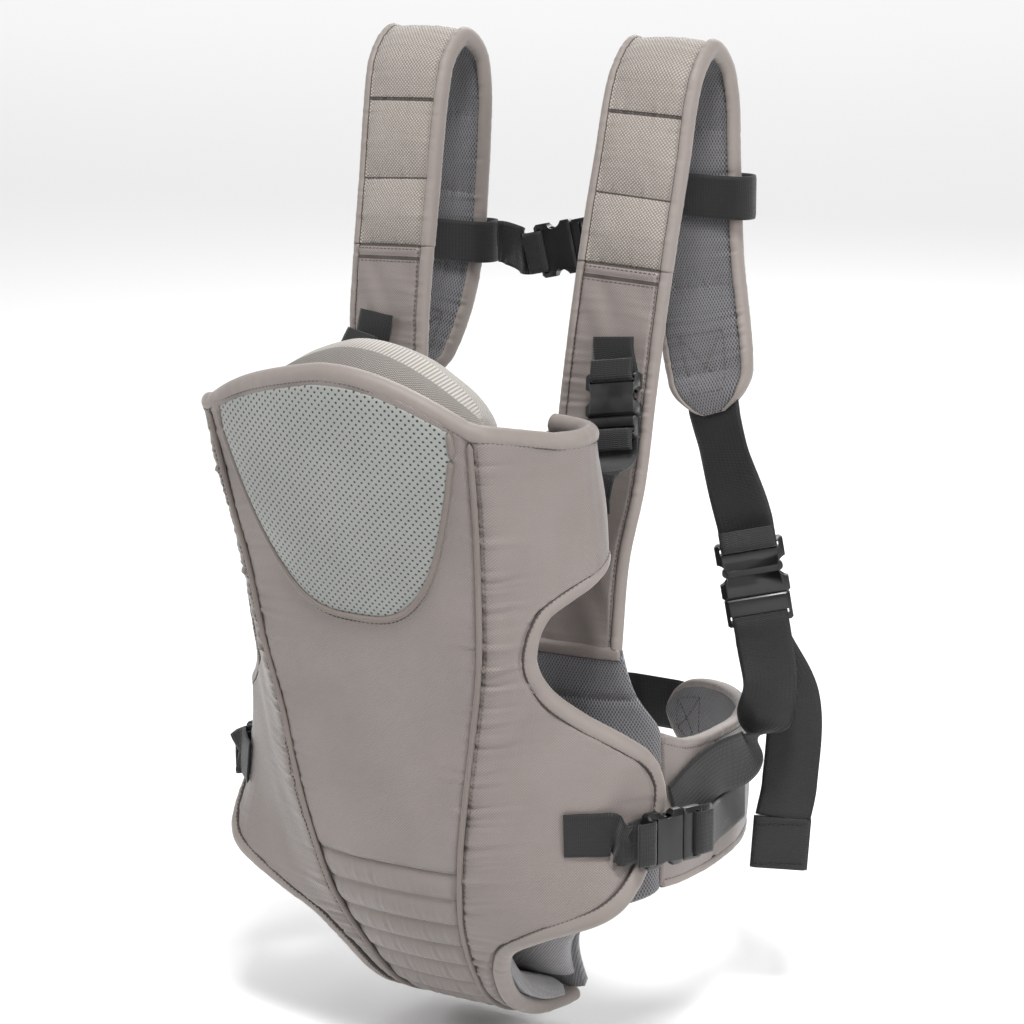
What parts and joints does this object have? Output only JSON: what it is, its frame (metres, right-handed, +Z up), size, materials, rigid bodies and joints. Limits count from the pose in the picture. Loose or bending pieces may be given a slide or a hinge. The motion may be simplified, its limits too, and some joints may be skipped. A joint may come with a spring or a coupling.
{
  "type": "baby carrier",
  "caption": "Soft baby carrier: a padded pouch panel with a perforated head pad on two padded shoulder straps, a waist ring and side-release buckles.",
  "frame": {"origin": "middle of the line across the crests of the two shoulder straps, where the wearer's shoulders carry it", "axes": "+Z up, -Y out of the front of the pouch, +X to the right as seen from in front"},
  "size_m": [0.3892, 0.4524, 0.6969],
  "materials": {
    "taupe_cloth": "twill with a soft sheen",
    "grey_mesh": "spacer mesh",
    "perforated_pad": "smooth, perforated",
    "black_webbing": "ribbed webbing",
    "buckle_plastic": "fine satin"
  },
  "bodies": {
    "carrier": {"front_centre_panel": "taupe_cloth", "rib_band": "taupe_cloth", "front_wing_left": "taupe_cloth", "front_wing_right": "taupe_cloth", "head_pad": "perforated_pad", "top_binding": "taupe_cloth", "side_binding": "taupe_cloth", "seam_piping": "taupe_cloth", "pouch_lining": "grey_mesh", "headrest_cushion": "grey_mesh", "wearer_panel_upper": "taupe_cloth", "wearer_panel_mesh": "grey_mesh", "crotch_pad_front": "grey_mesh", "crotch_pad_back": "grey_mesh", "strap_pad_left": "taupe_cloth", "strap_pad_right": "taupe_cloth", "strap_lower_left": "taupe_cloth", "strap_lower_right": "taupe_cloth", "waist_wing_left": "taupe_cloth", "waist_wing_right": "taupe_cloth", "waist_belt_webbing": "black_webbing", "shoulder_tab_left": "black_webbing", "shoulder_tab_right": "black_webbing", "pouch_tab_left": "black_webbing", "pouch_tab_right": "black_webbing", "shoulder_buckle_female_left": "buckle_plastic", "shoulder_buckle_female_right": "buckle_plastic", "waist_tab_left": "black_webbing", "waist_tab_right": "black_webbing", "waist_webbing_left": "black_webbing", "waist_webbing_right": "black_webbing", "waist_buckle_female_left": "buckle_plastic", "waist_buckle_female_right": "buckle_plastic", "rear_webbing_left": "black_webbing", "rear_webbing_right": "black_webbing", "rear_lower_left": "black_webbing", "rear_lower_right": "black_webbing", "rear_buckle_female_left": "buckle_plastic", "rear_buckle_female_right": "buckle_plastic"},
    "chest_strap": {"keeper_left": "black_webbing", "keeper_right": "black_webbing", "chest_webbing_left": "black_webbing", "chest_webbing_right": "black_webbing", "chest_buckle_female": "buckle_plastic"},
    "shoulder_buckle_half_left": {"shoulder_buckle_male_left": "buckle_plastic", "shoulder_buckle_latch_left": "buckle_plastic"},
    "shoulder_buckle_half_right": {"shoulder_buckle_male_right": "buckle_plastic", "shoulder_buckle_latch_right": "buckle_plastic"},
    "waist_buckle_half_left": {"waist_buckle_male_left": "buckle_plastic", "waist_buckle_latch_left": "buckle_plastic"},
    "waist_buckle_half_right": {"waist_buckle_male_right": "buckle_plastic", "waist_buckle_latch_right": "buckle_plastic"},
    "rear_buckle_half_left": {"rear_buckle_male_left": "buckle_plastic", "rear_buckle_latch_left": "buckle_plastic", "rear_tail_left": "black_webbing"},
    "rear_buckle_half_right": {"rear_buckle_male_right": "buckle_plastic", "rear_buckle_latch_right": "buckle_plastic", "rear_tail_right": "black_webbing"},
    "chest_buckle_half": {"chest_buckle_male": "buckle_plastic", "chest_buckle_latch": "buckle_plastic"}
  },
  "joints": [
    {"name": "shoulder_buckle_release_left", "type": "slide", "parent": "carrier", "child": "shoulder_buckle_half_left", "axis": [-0.2002, -0.3604, -0.911], "range_m": [0, 0.022], "deforming": ["shoulder_buckle_latch_left", "pouch_tab_left"]},
    {"name": "shoulder_buckle_release_right", "type": "slide", "parent": "carrier", "child": "shoulder_buckle_half_right", "axis": [0.2002, -0.3604, -0.911], "range_m": [0, 0.022], "deforming": ["shoulder_buckle_latch_right", "pouch_tab_right"]},
    {"name": "waist_buckle_release_left", "type": "slide", "parent": "carrier", "child": "waist_buckle_half_left", "axis": [0.1709, 0.9853, 0], "range_m": [0, 0.022], "deforming": ["waist_buckle_latch_left", "waist_webbing_left"]},
    {"name": "waist_buckle_release_right", "type": "slide", "parent": "carrier", "child": "waist_buckle_half_right", "axis": [0.3987, 0.9171, 0], "range_m": [0, 0.022], "deforming": ["waist_buckle_latch_right", "waist_webbing_right"]},
    {"name": "rear_buckle_release_left", "type": "slide", "parent": "carrier", "child": "rear_buckle_half_left", "axis": [-0.1607, 0.0703, -0.9845], "range_m": [0, 0.028], "deforming": ["rear_buckle_latch_left", "rear_lower_left"]},
    {"name": "rear_buckle_release_right", "type": "slide", "parent": "carrier", "child": "rear_buckle_half_right", "axis": [0.1607, 0.0703, -0.9845], "range_m": [0, 0.028], "deforming": ["rear_buckle_latch_right", "rear_lower_right"]},
    {"name": "chest_buckle_release", "type": "slide", "parent": "chest_strap", "child": "chest_buckle_half", "axis": [0.9718, 0.062, 0.2274], "range_m": [0, 0.022], "deforming": ["chest_buckle_latch", "chest_webbing_right"]},
    {"name": "chest_strap_height", "type": "slide", "parent": "carrier", "child": "chest_strap", "axis": [0, 0, 1], "range_m": [-0.015, 0.015]}
  ]
}
